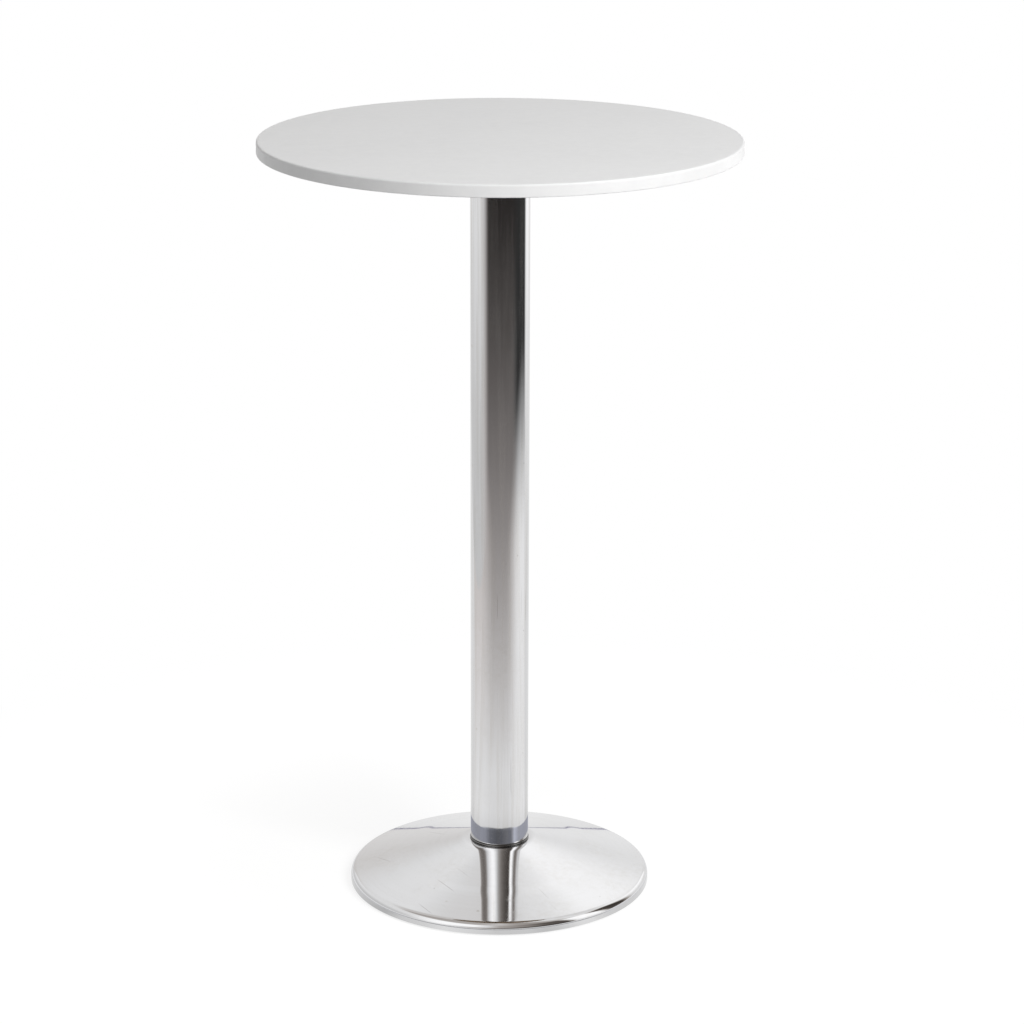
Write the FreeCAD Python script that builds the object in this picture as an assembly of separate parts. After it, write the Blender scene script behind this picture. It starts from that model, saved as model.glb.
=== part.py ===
import FreeCAD, Part
import math
import os

# A round pub table. The laminated board is screwed to a four-armed spider. One long tie rod clamps the
# spider, the tube column, the foot collar and the chromed cover down onto a cast ballast, and four
# levelling glides screwed into the ballast carry the table.
# Lengths are millimetres, +Z is up, and the origin lies on the floor under the middle of the column.

# Overall sizes
total_height = 995.0
top_diameter = 610.0
top_thickness = 16.0
column_diameter = 76.0
column_wall = 1.5
base_diameter = 395.0
base_neck_height = 57.0

# Clearances
thread_clearance = 0.05
plug_clearance = 0.10
rod_hole_clearance = 0.5
screw_hole_clearance = 0.5
glue_gap = 0.05
cover_gap = 0.6
swivel_clearance = 0.08
cut_overrun = 1.0

# Board of the top: lipped core with a face laminate and a backer
edge_band_thickness = 3.0
upper_arris_radius = 2.5
lower_arris_radius = 1.5
arris_most_share = 0.9
laminate_thickness = 0.8
backer_thickness = 0.8

# Spider under the top
spider_arm_count = 4
spider_turn_degrees = 45.0
spider_height = 24.0
spider_seat_overhang = 1.0
spider_hub_flare = 8.0
spider_floor = 8.0
spider_reach = 140.0
spider_arm_thickness = 6.0
spider_arm_root_width = 44.0
spider_arm_tip_width = 36.0
spider_rib_thickness = 7.0
spider_rib_reach = 104.0
spider_rib_rise = 4.0
spider_rib_end_depth = 3.0

# Pan-head screws, two near each arm's tip
screw_circle_radius = 121.0
screw_side_offset = 9.0
screw_diameter = 5.0
screw_length = 16.0
screw_tip_length = 4.0
screw_head_diameter = 9.6
screw_head_height = 3.2
screw_head_round_share = 0.6
screw_slot_width = 1.3
screw_slot_length = 5.6
screw_slot_depth = 1.8

# Tie rod and what tightens it
rod_diameter = 10.0
rod_chamfer = 1.0
rod_projection = 2.0
nut_across_flats = 17.0
nut_height = 8.0
nut_flat_share = 0.95
nut_chamfer_degrees = 30.0
washer_diameter = 30.0
washer_thickness = 2.5
lock_washer_diameter = 18.0
lock_washer_thickness = 2.2
lock_washer_slit = 1.5
nut_well_diameter = 48.0
base_well_depth = 18.0

# Plastic caps that centre the column on the rod
cap_flange = 0.8
cap_flange_setback = 0.3
cap_plug_depth = 22.0
cap_wall = 2.5
cap_floor = 4.0
cap_boss_diameter = 20.0
cap_boss_height = 16.0
cap_rib_count = 6
cap_rib_thickness = 2.4
cap_rib_height = 12.0
cap_lead_in = 0.8

# Chromed foot of the column and cover of the base
collar_height = 2.4
collar_overhang = 1.0
collar_land = 7.0
neck_margin = 2.0
neck_round_radius = 40.0
cover_thickness = 1.2
rim_clearance = 2.0
rim_skirt = 6.0
rim_roll_radius = 10.0

# Ballast
ballast_roof = 14.0
ballast_hub_wall = 22.0
ballast_web_count = 4
ballast_web_thickness = 12.0

# Levelling glides
glide_count = 4
glide_turn_degrees = 45.0
glide_inset = 47.5
glide_boss_radius = 22.0
pad_diameter = 34.0
pad_height = 6.0
pad_rim_height = 3.5
pad_edge_round = 1.2
pad_crown_diameter = 18.0
pad_sole = 1.8
pad_lip = 1.4
pad_hex_gap = 0.3
stud_diameter = 8.0
stud_head_diameter = 13.0
stud_hex_across_flats = 13.0
stud_hex_height = 4.0
stud_chamfer = 0.8
stud_end_gap = 1.0

# Places that follow from the sizes above
top_radius = top_diameter / 2
column_radius = column_diameter / 2
base_radius = base_diameter / 2
rod_radius = rod_diameter / 2
rod_hole_radius = rod_radius + rod_hole_clearance
screw_radius = screw_diameter / 2
nut_well_radius = nut_well_diameter / 2
stud_radius = stud_diameter / 2

board_underside = total_height - top_thickness
core_bottom = board_underside + backer_thickness
core_top = total_height - laminate_thickness
core_radius = top_radius - edge_band_thickness - glue_gap
spider_bottom = board_underside - spider_height
arm_underside = board_underside - spider_arm_thickness

collar_bottom = base_neck_height
collar_top = collar_bottom + collar_height
tube_bottom = collar_top + cap_flange
tube_top = spider_bottom - cap_flange
collar_radius = column_radius + collar_overhang
neck_radius = collar_radius + neck_margin
seat_underside = base_neck_height - cover_thickness

neck_centre_height = base_neck_height - neck_round_radius
roll_centre_radius = base_radius - rim_roll_radius
roll_centre_height = rim_clearance + rim_skirt
neck_to_roll = math.hypot(roll_centre_radius - neck_radius, roll_centre_height - neck_centre_height)
cone_angle = math.atan2(
    roll_centre_height - neck_centre_height, roll_centre_radius - neck_radius
) + math.asin((rim_roll_radius - neck_round_radius) / neck_to_roll)

hex_bottom = pad_height + pad_hex_gap
ballast_underside = hex_bottom + stud_hex_height
ballast_depth = cover_thickness + cover_gap
glide_circle_radius = base_radius - glide_inset

lower_washer_top = ballast_underside + base_well_depth
lower_lock_top = lower_washer_top - washer_thickness
lower_nut_top = lower_lock_top - lock_washer_thickness
upper_washer_bottom = spider_bottom + spider_floor
upper_lock_bottom = upper_washer_bottom + washer_thickness
upper_nut_bottom = upper_lock_bottom + lock_washer_thickness
rod_bottom = lower_nut_top - nut_height - rod_projection
rod_top = upper_nut_bottom + nut_height + rod_projection

V = FreeCAD.Vector
ORIGIN = V(0, 0, 0)
UP = V(0, 0, 1)


class Outline:
    """A closed outline in the plane of radius and height, drawn from point to point and spun about Z."""

    def __init__(self, radius, height):
        self.first = V(radius, 0, height)
        self.last = self.first
        self.edges = []

    def line(self, radius, height):
        """A straight stretch to the next point."""
        point = V(radius, 0, height)
        self.edges.append(Part.makeLine(self.last, point))
        self.last = point
        return self

    def arc(self, centre_radius, centre_height, radius, height):
        """A round stretch, under half a circle, about a centre."""
        centre = V(centre_radius, 0, centre_height)
        point = V(radius, 0, height)
        bisector = (self.last - centre) + (point - centre)
        middle = centre + bisector.normalize() * (point - centre).Length
        self.edges.append(Part.Arc(self.last, middle, point).toShape())
        self.last = point
        return self

    def spin(self):
        """The solid of the closed outline turned once about Z."""
        self.line(self.first.x, self.first.z)
        return Part.Face(Part.Wire(self.edges)).revolve(ORIGIN, UP, 360)


def disc(radius, bottom, top):
    """A round slab between two heights."""
    return Part.makeCylinder(radius, top - bottom, V(0, 0, bottom))


def ring(inner, outer, bottom, top):
    """A round slab with a hole through it."""
    return disc(outer, bottom, top).cut(disc(inner, bottom - cut_overrun, top + cut_overrun))


def hex_bar(across_flats, bottom, top):
    """A six-sided bar between two heights."""
    corner = across_flats / math.sqrt(3)
    points = [V(corner, 0, bottom)]
    for step in range(1, 6):
        angle = math.radians(60 * step)
        points.append(V(corner * math.cos(angle), corner * math.sin(angle), bottom))
    points.append(points[0])
    return Part.Face(Part.makePolygon(points)).extrude(V(0, 0, top - bottom))


def around(shape, count, first_degrees=0):
    """Copies of a shape turned evenly about Z."""
    copies = []
    for step in range(count):
        copy = shape.copy()
        copy.rotate(ORIGIN, UP, first_degrees + 360 * step / count)
        copies.append(copy)
    return copies


def moved(shape, x, y, z):
    """A copy of a shape shifted by x, y and z."""
    copy = shape.copy()
    copy.translate(V(x, y, z))
    return copy


def cone_start(depth):
    """Where the rounded neck runs into the cone, at a depth under the cover's outer face."""
    radius = neck_round_radius - depth
    return neck_radius - radius * math.sin(cone_angle), neck_centre_height + radius * math.cos(cone_angle)


def cone_end(depth):
    """Where the cone runs into the rim's roll, at a depth under the cover's outer face."""
    radius = rim_roll_radius - depth
    return (
        roll_centre_radius - radius * math.sin(cone_angle),
        roll_centre_height + radius * math.cos(cone_angle),
    )


def cone_height(radius, depth):
    """The cone's height at a radius, at a depth under the cover's outer face."""
    end_radius, end_height = cone_end(depth)
    return end_height + (radius - end_radius) * math.tan(cone_angle)


# Top


def screw_places():
    """The middle of each screw, two on every arm of the spider."""
    reach = math.hypot(screw_circle_radius, screw_side_offset)
    swing = math.degrees(math.atan2(screw_side_offset, screw_circle_radius))
    places = []
    for arm in range(spider_arm_count):
        middle = spider_turn_degrees + 360 * arm / spider_arm_count
        for side in (-1, 1):
            angle = math.radians(middle + side * swing)
            places.append((reach * math.cos(angle), reach * math.sin(angle)))
    return places


def screw_holes(radius, bottom, top):
    """Round cutters on all screw places."""
    return [moved(disc(radius, bottom, top), x, y, 0) for x, y in screw_places()]


def top_core():
    """Board with blind pilot holes for the screws."""
    pilot_top = arm_underside + screw_length + screw_hole_clearance
    pilots = screw_holes(screw_radius + thread_clearance, core_bottom - cut_overrun, pilot_top)
    return disc(core_radius, core_bottom, core_top).cut(pilots)


def top_laminate():
    """Thin face sheet on the board."""
    return disc(core_radius, core_top, total_height)


def backer_laminate():
    """Thin sheet under the board, drilled for the screws."""
    holes = screw_holes(
        screw_radius + screw_hole_clearance, board_underside - cut_overrun, core_bottom + cut_overrun
    )
    return disc(core_radius, board_underside, core_bottom).cut(holes)


def edge_band():
    """Lipping round the board, with rounded arrises."""
    widest_arris = edge_band_thickness * arris_most_share
    upper = min(upper_arris_radius, widest_arris)
    lower = min(lower_arris_radius, widest_arris)
    inner = top_radius - edge_band_thickness
    outline = Outline(inner, board_underside)
    outline.line(top_radius - lower, board_underside)
    outline.arc(top_radius - lower, board_underside + lower, top_radius, board_underside + lower)
    outline.line(top_radius, total_height - upper)
    outline.arc(top_radius - upper, total_height - upper, top_radius - upper, total_height)
    outline.line(inner, total_height)
    return outline.spin()


def spider_arm():
    """Flat tapered arm with a round tip, along X from the axis."""
    tip = spider_arm_tip_width / 2
    root = spider_arm_root_width / 2
    shoulder = spider_reach - tip
    edges = [
        Part.makeLine(V(0, root, arm_underside), V(0, -root, arm_underside)),
        Part.makeLine(V(0, -root, arm_underside), V(shoulder, -tip, arm_underside)),
        Part.Arc(
            V(shoulder, -tip, arm_underside),
            V(spider_reach, 0, arm_underside),
            V(shoulder, tip, arm_underside),
        ).toShape(),
        Part.makeLine(V(shoulder, tip, arm_underside), V(0, root, arm_underside)),
    ]
    return Part.Face(Part.Wire(edges)).extrude(V(0, 0, spider_arm_thickness))


def spider_rib():
    """Upright rib under an arm, deepest at the hub."""
    inside = arm_underside + spider_arm_thickness / 2
    root = spider_bottom + spider_rib_rise
    side = -spider_rib_thickness / 2
    points = [
        V(0, side, inside),
        V(spider_rib_reach, side, inside),
        V(spider_rib_reach, side, arm_underside - spider_rib_end_depth),
        V(column_radius, side, root),
        V(0, side, root),
        V(0, side, inside),
    ]
    return Part.Face(Part.makePolygon(points)).extrude(V(0, spider_rib_thickness, 0))


def spider_plate():
    """Cast four-armed spider: a flared hub on the column, with a well for the nut, and ribbed arms."""
    hub = Outline(0, spider_bottom)
    hub.line(column_radius + spider_seat_overhang, spider_bottom)
    hub.line(column_radius + spider_hub_flare, arm_underside)
    hub.line(column_radius + spider_hub_flare, board_underside)
    hub.line(0, board_underside)
    arm = spider_arm().fuse(spider_rib())
    body = hub.spin().fuse(around(arm, spider_arm_count, spider_turn_degrees))
    well = disc(nut_well_radius, upper_washer_bottom, board_underside + cut_overrun)
    bore = disc(rod_hole_radius, spider_bottom - cut_overrun, board_underside + cut_overrun)
    holes = screw_holes(
        screw_radius + screw_hole_clearance, arm_underside - cut_overrun, board_underside + cut_overrun
    )
    return body.cut([well, bore] + holes).removeSplitter()


def screw():
    """Pan-head screw pointing up, with its head's flat face at height zero and a crossed slot."""
    head_radius = screw_head_diameter / 2
    corner = screw_head_height * screw_head_round_share
    body = Outline(0, -screw_head_height)
    body.line(head_radius - corner, -screw_head_height)
    body.arc(head_radius - corner, corner - screw_head_height, head_radius, corner - screw_head_height)
    body.line(head_radius, 0)
    body.line(screw_radius, 0)
    body.line(screw_radius, screw_length - screw_tip_length)
    body.line(0, screw_length)
    depth = screw_slot_depth + cut_overrun
    bottom = -screw_head_height - cut_overrun
    slot = Part.makeBox(
        screw_slot_length, screw_slot_width, depth, V(-screw_slot_length / 2, -screw_slot_width / 2, bottom)
    )
    crossed = around(slot, 4)[:2]
    return body.spin().cut(crossed)


def spider_screws():
    """All screws of the spider, as one group of separate solids."""
    return Part.makeCompound([moved(screw(), x, y, arm_underside) for x, y in screw_places()])


# Column


def column_tube():
    """Chromed tube between the two centring caps."""
    return ring(column_radius - column_wall, column_radius, tube_bottom, tube_top)


def centring_cap():
    """Ribbed plug with a thin flange, standing on its flange at height zero."""
    plug_radius = column_radius - column_wall - plug_clearance
    flange_radius = column_radius - cap_flange_setback
    bore_radius = rod_radius + thread_clearance
    boss_radius = cap_boss_diameter / 2
    plug_top = cap_flange + cap_plug_depth
    body = Outline(bore_radius, 0)
    body.line(flange_radius, 0)
    body.line(flange_radius, cap_flange)
    body.line(plug_radius, cap_flange)
    body.line(plug_radius, plug_top - cap_lead_in)
    body.line(plug_radius - cap_lead_in, plug_top)
    body.line(plug_radius - cap_wall, plug_top)
    body.line(plug_radius - cap_wall, cap_floor)
    body.line(boss_radius, cap_floor)
    body.line(boss_radius, cap_boss_height)
    body.line(bore_radius, cap_boss_height)
    sunk = cap_wall / 2
    rib_start = boss_radius - sunk
    rib_end = plug_radius - sunk
    rib = Part.makeBox(
        rib_end - rib_start,
        cap_rib_thickness,
        cap_rib_height - cap_floor / 2,
        V(rib_start, -cap_rib_thickness / 2, cap_floor / 2),
    )
    return body.spin().fuse(around(rib, cap_rib_count)).removeSplitter()


def lower_centring_cap():
    """Cap at the column's foot, its flange between the collar and the tube."""
    return moved(centring_cap(), 0, 0, collar_top)


def upper_centring_cap():
    """Cap at the column's head, upside down under the spider."""
    cap = centring_cap()
    cap.rotate(ORIGIN, V(1, 0, 0), 180)
    return moved(cap, 0, 0, spider_bottom)


def tie_rod():
    """Long rod from the nut in the ballast to the nut in the spider."""
    rod = Outline(0, rod_bottom)
    rod.line(rod_radius - rod_chamfer, rod_bottom)
    rod.line(rod_radius, rod_bottom + rod_chamfer)
    rod.line(rod_radius, rod_top - rod_chamfer)
    rod.line(rod_radius - rod_chamfer, rod_top)
    rod.line(0, rod_top)
    return rod.spin()


def nut(bottom):
    """Hexagon nut with chamfered corners, standing at a height."""
    top = bottom + nut_height
    corner = nut_across_flats / math.sqrt(3)
    flat = nut_flat_share * nut_across_flats / 2
    chamfer = (corner - flat) * math.tan(math.radians(nut_chamfer_degrees))
    turned = Outline(0, bottom)
    turned.line(flat, bottom)
    turned.line(corner, bottom + chamfer)
    turned.line(corner, top - chamfer)
    turned.line(flat, top)
    turned.line(0, top)
    bore = disc(rod_radius + thread_clearance, bottom - cut_overrun, top + cut_overrun)
    return hex_bar(nut_across_flats, bottom, top).common(turned.spin()).cut(bore)


def washer(bottom):
    """Broad plain washer, lying at a height."""
    return ring(rod_hole_radius, washer_diameter / 2, bottom, bottom + washer_thickness)


def lock_washer(bottom):
    """Split ring washer, lying at a height, with its slit along X."""
    outer = lock_washer_diameter / 2
    slit = Part.makeBox(
        outer + cut_overrun,
        lock_washer_slit,
        lock_washer_thickness + 2 * cut_overrun,
        V(0, -lock_washer_slit / 2, bottom - cut_overrun),
    )
    return ring(rod_hole_radius, outer, bottom, bottom + lock_washer_thickness).cut(slit)


# Base


def foot_collar():
    """Chromed half-round bead between the cover's seat and the column."""
    bead = collar_height / 2
    middle = collar_bottom + bead
    inner = column_radius - collar_land
    outline = Outline(inner, collar_bottom)
    outline.line(collar_radius - bead, collar_bottom)
    outline.arc(collar_radius - bead, middle, collar_radius, middle)
    outline.arc(collar_radius - bead, middle, collar_radius - bead, collar_top)
    outline.line(inner, collar_top)
    return outline.spin()


def base_cover():
    """Spun shell: a flat seat that rounds into a straight cone, and a rim rolled over into a short skirt."""
    inside = base_radius - cover_thickness
    neck = (neck_radius, neck_centre_height)
    roll = (roll_centre_radius, roll_centre_height)
    outline = Outline(rod_hole_radius, seat_underside)
    outline.line(neck_radius, seat_underside)
    outline.arc(*neck, *cone_start(cover_thickness))
    outline.line(*cone_end(cover_thickness))
    outline.arc(*roll, inside, roll_centre_height)
    outline.line(inside, rim_clearance)
    outline.line(base_radius, rim_clearance)
    outline.line(base_radius, roll_centre_height)
    outline.arc(*roll, *cone_end(0))
    outline.line(*cone_start(0))
    outline.arc(*neck, neck_radius, base_neck_height)
    outline.line(rod_hole_radius, base_neck_height)
    return outline.spin()


def ballast_pocket():
    """Hollow in the ballast's underside, round the hub, with webs left standing across it."""
    inner = nut_well_radius + ballast_hub_wall
    outer = glide_circle_radius - glide_boss_radius
    bottom = ballast_underside - cut_overrun
    inner_roof = cone_height(inner, ballast_depth) - ballast_roof
    outer_roof = cone_height(outer, ballast_depth) - ballast_roof
    hollow = Outline(inner, bottom)
    hollow.line(outer, bottom)
    hollow.line(outer, outer_roof)
    hollow.line(inner, inner_roof)
    web = Part.makeBox(
        outer + cut_overrun,
        ballast_web_thickness,
        base_neck_height,
        V(0, -ballast_web_thickness / 2, bottom),
    )
    return hollow.spin().cut(around(web, ballast_web_count))


def ballast():
    """Cast weight that fills the cover, with a well for the lower nut and tapped holes for the glides."""
    edge_top = cone_height(roll_centre_radius, ballast_depth)
    body = Outline(rod_hole_radius, ballast_underside)
    body.line(roll_centre_radius, ballast_underside)
    body.line(roll_centre_radius, edge_top)
    body.line(*cone_start(ballast_depth))
    body.line(neck_radius, seat_underside)
    body.line(rod_hole_radius, seat_underside)
    well = disc(nut_well_radius, ballast_underside - cut_overrun, lower_washer_top)
    hole = disc(stud_radius + thread_clearance, ballast_underside - cut_overrun, base_neck_height)
    holes = around(moved(hole, glide_circle_radius, 0, 0), glide_count, glide_turn_degrees)
    return body.spin().cut([well, ballast_pocket()] + holes)


def glide_pad():
    """Round foot with a socket for the stud's head, on the axis and on the floor."""
    pad_radius = pad_diameter / 2
    neck = stud_radius + swivel_clearance
    socket = stud_head_diameter / 2 + swivel_clearance
    pad = Outline(0, 0)
    pad.line(pad_radius - pad_edge_round, 0)
    pad.arc(pad_radius - pad_edge_round, pad_edge_round, pad_radius, pad_edge_round)
    pad.line(pad_radius, pad_rim_height)
    pad.line(pad_crown_diameter / 2, pad_height)
    pad.line(neck, pad_height)
    pad.line(neck, pad_height - pad_lip)
    pad.line(socket, pad_height - pad_lip)
    pad.line(socket, pad_sole)
    pad.line(0, pad_sole)
    return pad.spin()


def glide_stud():
    """Threaded stud with a flat head held in the pad and a hexagon for a spanner, on the axis."""
    head_top = pad_height - pad_lip - swivel_clearance
    head_radius = stud_head_diameter / 2
    outermost = glide_circle_radius + stud_radius
    top = cone_height(outermost, ballast_depth) - stud_end_gap
    stud = Outline(0, pad_sole)
    stud.line(head_radius, pad_sole)
    stud.line(head_radius, head_top)
    stud.line(stud_radius, head_top)
    stud.line(stud_radius, top - stud_chamfer)
    stud.line(stud_radius - stud_chamfer, top)
    stud.line(0, top)
    return stud.spin().fuse(hex_bar(stud_hex_across_flats, hex_bottom, ballast_underside)).removeSplitter()


PIECES = {
    "top_core": top_core(),
    "top_laminate": top_laminate(),
    "backer_laminate": backer_laminate(),
    "edge_band": edge_band(),
    "spider_plate": spider_plate(),
    "spider_screws": spider_screws(),
    "column_tube": column_tube(),
    "upper_centring_cap": upper_centring_cap(),
    "lower_centring_cap": lower_centring_cap(),
    "tie_rod": tie_rod(),
    "upper_nut": nut(upper_nut_bottom),
    "upper_lock_washer": lock_washer(upper_lock_bottom),
    "upper_washer": washer(upper_washer_bottom),
    "lower_nut": nut(lower_nut_top - nut_height),
    "lower_lock_washer": lock_washer(lower_nut_top),
    "lower_washer": washer(lower_lock_top),
    "foot_collar": foot_collar(),
    "base_cover": base_cover(),
    "ballast": ballast(),
}
for name, piece in (("glide_pad", glide_pad()), ("glide_stud", glide_stud())):
    standing = around(moved(piece, glide_circle_radius, 0, 0), glide_count, glide_turn_degrees)
    for number, copy in enumerate(standing, start=1):
        PIECES[f"{name}_{number}"] = copy

os.makedirs("parts", exist_ok=True)
for name, shape in PIECES.items():
    shape.exportStep(f"parts/{name}.step")
    print(f"{name}: {len(shape.Solids)} solid, {shape.Volume / 1000:.2f} cm3, valid {shape.isValid()}")
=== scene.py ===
import math

import bmesh
import bpy
import numpy as np
from mathutils import Matrix, Vector


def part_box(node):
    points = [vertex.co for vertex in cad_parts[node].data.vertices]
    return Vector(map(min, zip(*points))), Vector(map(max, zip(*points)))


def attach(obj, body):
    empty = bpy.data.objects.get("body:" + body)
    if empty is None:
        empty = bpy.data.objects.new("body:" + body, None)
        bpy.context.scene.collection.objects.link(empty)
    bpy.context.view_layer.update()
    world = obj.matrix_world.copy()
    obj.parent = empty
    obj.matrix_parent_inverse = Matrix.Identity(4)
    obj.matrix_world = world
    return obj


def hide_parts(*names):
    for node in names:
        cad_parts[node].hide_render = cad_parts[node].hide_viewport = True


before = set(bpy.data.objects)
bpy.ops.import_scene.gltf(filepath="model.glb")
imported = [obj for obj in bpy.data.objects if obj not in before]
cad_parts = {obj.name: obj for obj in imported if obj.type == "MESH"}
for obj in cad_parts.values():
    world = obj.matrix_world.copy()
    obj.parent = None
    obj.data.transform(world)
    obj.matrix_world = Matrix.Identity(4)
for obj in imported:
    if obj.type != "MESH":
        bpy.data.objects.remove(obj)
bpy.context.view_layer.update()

# A round pub table: white laminated top, chromed tube column, chromed spun base on levelling glides.
# Lengths are metres, +Z is up and the origin lies on the floor under the middle of the column.

# Sizes read from the frame
BOARD_LOW, BOARD_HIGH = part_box("edge_band")
SHEET_LOW, SHEET_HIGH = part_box("top_laminate")
TUBE_LOW, TUBE_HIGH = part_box("column_tube")
BEAD_LOW, BEAD_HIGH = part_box("foot_collar")
COVER_LOW, COVER_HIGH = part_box("base_cover")
ROD_LOW, ROD_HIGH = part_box("tie_rod")

# Sizes of the surfaces that the frame's boxes don't give
BAND_THICKNESS = 0.003
UPPER_ARRIS = 0.0025
LOWER_ARRIS = 0.0015
SHEET_EASE = 0.0001
TUBE_WALL = 0.0015
TUBE_END_ROUND = 0.0004
BEAD_LAND = 0.007
NECK_MARGIN = 0.0020
NECK_ROUND = 0.040
COVER_WALL = 0.0012
COVER_BORE = 0.0055
RIM_SKIRT = 0.006
RIM_ROLL = 0.010
RIM_EDGE_ROUND = 0.0005
SPUN_RING_RADII = (0.119, 0.145)
SPUN_RING_RISE = 0.0002
SPUN_STEPS = 72
CAST_EDGE_ROUND = 0.0012
CAST_EDGE_SEGMENTS = 2

# Threads and glides
GLIDE_COUNT = 4
ROD_PITCH = 0.0015
ROD_THREAD_LENGTH = 0.030
ROD_END_CHAMFER = 0.001
STUD_PITCH = 0.00125
STUD_RADIUS = 0.004
STUD_END_CHAMFER = 0.0008
STUD_HEAD_RADIUS = 0.0065
STUD_HEAD_TOP = 0.00452
STUD_HEX_FLATS = 0.013
STUD_HEX_LOW = 0.0063
STUD_HEX_HIGH = 0.0103
STUD_HEX_CHAMFER = 0.0005
STUD_HEX_FLAT_SHARE = 0.98
THREAD_DEPTH_SHARE = 0.61
THREAD_ROWS_A_TURN = 8
THREAD_FLANK = 1.3
THREAD_CREST = 0.15
PAD_EDGE_ROUND = 0.0012
PAD_RIM_HEIGHT = 0.0035
PAD_CROWN_RADIUS = 0.009
PAD_SOLE = 0.0018
PAD_LIP = 0.0014
PAD_CLEARANCE = 0.00008
PAD_SOCKET_EASE = 0.00002
PAD_GROOVE_RADII = (0.0055, 0.009, 0.0125)
PAD_GROOVE_HALF_WIDTH = 0.0006
PAD_GROOVE_DEPTH = 0.0004

# How finely the surfaces are divided
WIDE_SIDES = 384
TUBE_SIDES = 256
SMALL_SIDES = 72
ARC_STEPS = 14
FINE_ARC_STEPS = 3 * ARC_STEPS
PAD_ARC_STEPS = 8
SMALL_ARC_STEPS = 6
SHEET_ARC_STEPS = 4
HOLD = 0.0002
HOLD_MOST_SHARE = 0.3
SAME_POINT = 1e-7
MERGE_DISTANCE = 10 * SAME_POINT
SHARP_DEGREES = 32
FLAT_DEGREES = 0.5


# Profiles


def straight(start, end):
    """A straight stretch of a profile: its two ends, and a point close to each end that keeps the shading
    flat between them."""
    start, end = np.array(start), np.array(end)
    length = np.linalg.norm(end - start)
    step = (end - start) * min(HOLD / length, HOLD_MOST_SHARE)
    return np.array([start, start + step, end - step, end])


def arc(centre, radius, first, last, steps=ARC_STEPS):
    """A round stretch of a profile: centre plus radius times cosine and sine of angles that go evenly from
    first to last, in degrees."""
    angles = np.radians(np.linspace(first, last, steps + 1))
    return np.column_stack([centre[0] + radius * np.cos(angles), centre[1] + radius * np.sin(angles)])


def profile(*stretches):
    """Stretches of radius and height laid end to end, without the points that repeat the one before."""
    points = np.vstack(stretches)
    apart = np.linalg.norm(np.diff(points, axis=0), axis=1) > SAME_POINT
    return points[np.concatenate([[True], apart])]


# Meshes


def skin(name, grid, looped=False):
    """A closed mesh over a grid of points. Each four neighbours are a face, the columns run round into each
    other, and so do the rows where looped. A row that shrinks to one point becomes a pole."""
    rows, columns = grid.shape[:2]
    index = np.arange(rows * columns).reshape(rows, columns)
    near = index if looped else index[:-1]
    far = np.roll(index, -1, axis=0) if looped else index[1:]
    faces = np.stack([near, np.roll(near, -1, axis=1), np.roll(far, -1, axis=1), far], axis=-1)
    mesh = bpy.data.meshes.new(name)
    mesh.from_pydata(grid.reshape(-1, 3).tolist(), [], faces.reshape(-1, 4).tolist())
    return tidied(mesh)


def tidied(mesh, flat_degrees=None):
    """The mesh with doubles merged, faces turned outwards and smooth shading that breaks at sharp edges.
    Where flat_degrees is given, triangles of one flat face are joined first."""
    work = bmesh.new()
    work.from_mesh(mesh)
    bmesh.ops.remove_doubles(work, verts=work.verts, dist=MERGE_DISTANCE)
    if flat_degrees is not None:
        bmesh.ops.dissolve_limit(
            work, angle_limit=math.radians(flat_degrees), verts=work.verts, edges=work.edges
        )
    bmesh.ops.recalc_face_normals(work, faces=work.faces)
    work.to_mesh(mesh)
    work.free()
    mesh.shade_smooth()
    mesh.set_sharp_from_angle(angle=math.radians(SHARP_DEGREES))
    return mesh


def lathe_rows(rows, sides):
    """Rows of a radius r and a height h as a grid about Z: x is r cos t, y is r sin t and z is h, for evenly
    spaced angles t. A radius is one number or one per angle."""
    angles = np.linspace(0, 2 * np.pi, sides, endpoint=False)
    radius = np.array([np.broadcast_to(r, sides) for r, h in rows])
    height = np.array([h for r, h in rows])[:, None]
    return np.stack([radius * np.cos(angles), radius * np.sin(angles), height + 0 * angles], axis=-1)


def turned(name, points, sides, looped=True):
    """A profile turned once about Z. A profile that isn't looped starts and ends on the axis."""
    return skin(name, lathe_rows(points, sides), looped)


def thread_rows(radius, pitch, low, high, sides):
    """Rows of a screw thread: the radius less a depth times a triangle wave of height over pitch minus
    angle over a full turn. The wave's crests are flattened, and the depth fades out over one pitch at
    each end."""
    turn = np.linspace(0, 1, sides, endpoint=False)
    heights = np.linspace(low, high, int((high - low) / pitch * THREAD_ROWS_A_TURN) + 1)
    phase = np.mod(heights[:, None] / pitch - turn, 1)
    groove = np.clip(THREAD_FLANK * np.abs(2 * phase - 1) - THREAD_CREST, 0, 1)
    fade = np.clip(np.minimum(heights - low, high - heights) / pitch, 0, 1)[:, None]
    radii = radius - pitch * THREAD_DEPTH_SHARE * groove * fade
    return list(zip(radii, heights))


def hexagon(flats, widest, sides):
    """The radius of a hexagon by angle: half its width over flats, over the cosine of the angle to the
    nearest flat's middle, but no more than widest."""
    angles = np.linspace(0, 2 * np.pi, sides, endpoint=False)
    return np.minimum(flats / 2 / np.cos(np.mod(angles, np.pi / 3) - np.pi / 6), widest)


def placed(grid, x, y, degrees):
    """A grid of points turned about Z, then shifted."""
    c, s = math.cos(math.radians(degrees)), math.sin(math.radians(degrees))
    spin = np.array([[c, -s, 0], [s, c, 0], [0, 0, 1]])
    return grid @ spin.T + np.array([x, y, 0])


def dressed(mesh, material, body, cad_node):
    """A finished piece: the mesh as an object with its material, riding on a body in place of a CAD node."""
    piece = bpy.data.objects.new(mesh.name, mesh)
    bpy.context.scene.collection.objects.link(piece)
    mesh.materials.clear()
    mesh.materials.append(material)
    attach(piece, body)
    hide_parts(cad_node)
    return piece


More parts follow.
